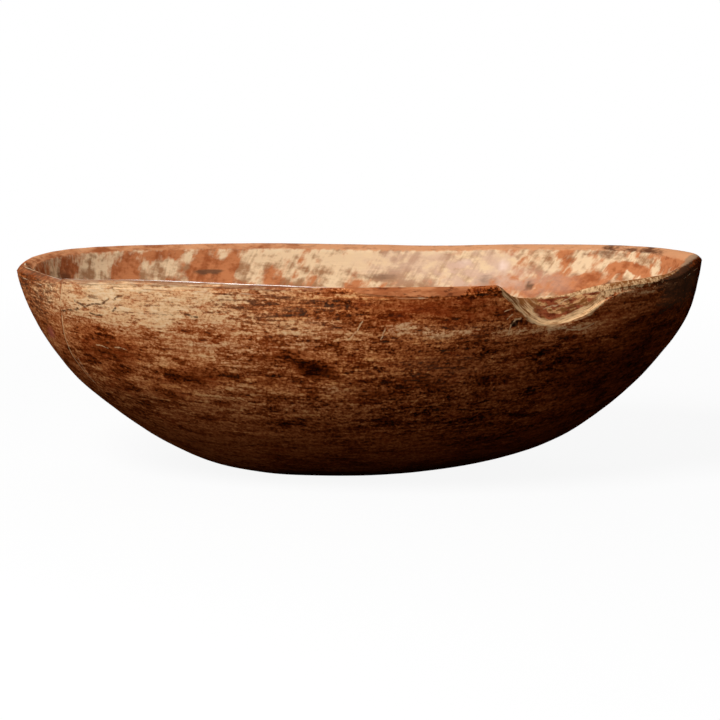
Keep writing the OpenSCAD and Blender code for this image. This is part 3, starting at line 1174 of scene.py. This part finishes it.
def inner_colour(n):
    """Remains of red paint, brushed and worn through, with a painted sheen and painted
    highlights on the far wall.
    """
    mottle = n.pattern("mottle")
    patchy = n.field("patchy")
    bare = n.step("bare", n.math("MULTIPLY_ADD", n.blend("bare"), patchy, n.field("bare")))
    dull = n.math("MULTIPLY_ADD", n.blend("dull"), patchy, n.pattern("wash"))
    dull = n.plus(dull, n.step("duller_down", n.field("depth")))
    tan = n.mix(n.step("dull", dull), BARE_TAN, BARE_DULL)
    colour = n.mix(bare, n.mix(n.shown("deep"), PAINT_RED, PAINT_DEEP), tan)
    # Greyer bare wood, and a painted sheen in the middle of the far wall
    grey = n.times(n.field("grey"), n.step("grey", mottle))
    colour = n.mix(grey, colour, BARE_GREY_AND_SHEEN)
    colour = n.mix(n.shown("smudge"), colour, SMUDGE)
    # Painted highlights where the glossy finish would shine
    return n.mix(n.field("painted_highlight"), colour, PAINTED_HIGHLIGHT)


def rim_colour(n):
    """Paint on the rim, rubbed dark in places."""
    colour = n.mix(n.step("rim_deep", n.pattern("rub")), PAINT_RED, PAINT_DEEP)
    colour = n.mix(n.shown("rim_pale"), colour, RIM_PALE)
    chipped = n.times(n.step("rim_chip", n.pattern("rim_chip")), n.field("rim_chipped"))
    colour = n.mix(chipped, colour, PAINT_DARK)
    colour = n.mix(n.shown("rim_dark"), colour, RIM_DARK)
    return n.mix(n.shown("rim_grey"), colour, RIM_GREY)


def scoop_colour(n):
    """Colour in and round the scoop, and how much of it shows: a pale torn edge
    along the bottom, and old paint on the worn face above it."""
    split = n.node("SeparateXYZ")
    n.plug(split.inputs[0], n.over("ridge"))
    away, x = split.outputs["Y"], split.outputs["Z"]
    hatch = n.pattern("hatch")
    blot = n.pattern("scoop_blot")
    # Right of the scoop the torn fibres stand across the rim
    fibre = n.times(n.blend("torn_fibre", n.pattern("torn_fibre")), n.step("left_of_lip", x))
    fibre = n.plus(fibre, n.times(hatch, n.step("on_lip", x)))
    # The left flank of the scoop and the lip right of it are browner
    uneven = n.blend("ridge", away)
    # The crest of the torn edge is paler: a painted highlight on its rounded top
    crest = n.times(n.step("ridge_bottom", uneven), n.step("ridge_top", uneven))
    brown = n.plus(n.step("brown_flank", x), n.step("brown_torn", x))
    pale = n.step("torn", n.minus(n.centred(crest, CREST_HIGHLIGHT, fibre), brown))
    torn = n.mix(pale, RIDGE_BROWN, RIDGE_PALE)
    pale = n.step("lipped", n.minus(hatch, n.step("brown_lip", x)))
    lipped = n.mix(pale, RIDGE_BROWN, RIDGE_PALE)

    brown = n.step("chip_brown", n.centred(fibre, CHIP_FIBRE, blot))
    chipped = n.step("chipped", n.blend("chipped", n.pattern("scoop_chip")))
    # Darker red patches on the worn face, partly painted shade in its holes
    face = n.mix(n.step("scoop_deep", blot), SCOOP_RED, SCOOP_DEEP)
    face = n.mix(chipped, face, n.mix(brown, CHIP_TAN, RIDGE_BROWN))
    lip = n.step("lip_depth", x)
    by_lip = n.rise(n.blend("lip", n.field("depth")), lip, n.minus(lip, LIP_FADE))
    face = n.mix(by_lip, face, lipped)
    face = n.mix(n.step("left_flank", n.blend("left_flank", x)), face, torn)

    frayed = n.math("MULTIPLY_ADD", n.minus(hatch, FRAY_LEVEL), n.step("fraying", x), uneven)
    past = n.minus(uneven, n.step("torn_width", x))
    edge = n.times(n.step("torn_from", frayed), n.step("torn_to", past))
    return n.mix(edge, face, torn), n.math("MAXIMUM", edge, n.step("above_ridge", away))


def wood_colour(n):
    """Colour of the whole bowl: the outside, the inside, and the rim over both."""
    depth = n.field("depth")
    scoop, scoop_share = scoop_colour(n)
    outer = n.mix(n.times(scoop_share, n.field("by_scoop")), outer_colour(n), scoop)
    edge = n.times(n.step("rim_edge", n.blend("rim_edge", depth)), n.field("rim_edge"))
    outer = n.mix(edge, marked(n, outer), RIM_EDGE)
    colour = n.mix(n.shown("inside"), outer, inner_colour(n))
    low = n.field("rim_low")
    down = n.rise(n.blend("rim_low", depth), n.plus(low, RIM_FADE_BELOW),
                  n.minus(low, RIM_FADE_ABOVE))
    out = n.field("rim_out")
    lean = n.rise(n.blend("rim_out", n.field("outward")), out, n.minus(out, RIM_FADE_OUT))
    return n.mix(n.times(down, lean), colour, rim_colour(n))


def wood_material():
    material = bpy.data.materials.new("old_wood")
    n = Nodes(material)
    bump = n.node("Bump")
    bump.inputs["Strength"].default_value = BUMP_STRENGTH
    bump.inputs["Distance"].default_value = BUMP_HEIGHT
    n.plug(bump.inputs["Height"], n.blend("bump"))
    shader = n.node("BsdfPrincipled")
    n.plug(shader.inputs["Base Color"], wood_colour(n))
    n.plug(shader.inputs["Roughness"], n.step("roughness", n.pattern("patch")))
    shader.inputs["Specular IOR Level"].default_value = 0.0
    n.plug(shader.inputs["Coat Weight"], n.math(
        "MULTIPLY", n.field("polish"), n.step("polish", n.pattern("polish")), clamp=True))
    shader.inputs["Coat Roughness"].default_value = COAT_ROUGHNESS
    n.plug(shader.inputs["Normal"], bump.outputs["Normal"])
    out = n.node("OutputMaterial")
    n.plug(out.inputs["Surface"], shader.outputs[0])
    return material


def make_bowl():
    bowl = refined_copy("bowl", "carved_bowl")
    surface = Surface(bowl.data)
    paint(surface)
    carve(surface)
    bowl.data.materials.clear()
    bowl.data.materials.append(wood_material())
    bowl.data.shade_smooth()
    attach(bowl, "root")
    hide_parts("bowl")


bpy.context.scene.view_settings.view_transform = "Standard"
make_camera()
make_world()
make_floor()
for lamp, settings in LAMPS.items():
    make_lamp(lamp, *settings)
make_bowl()
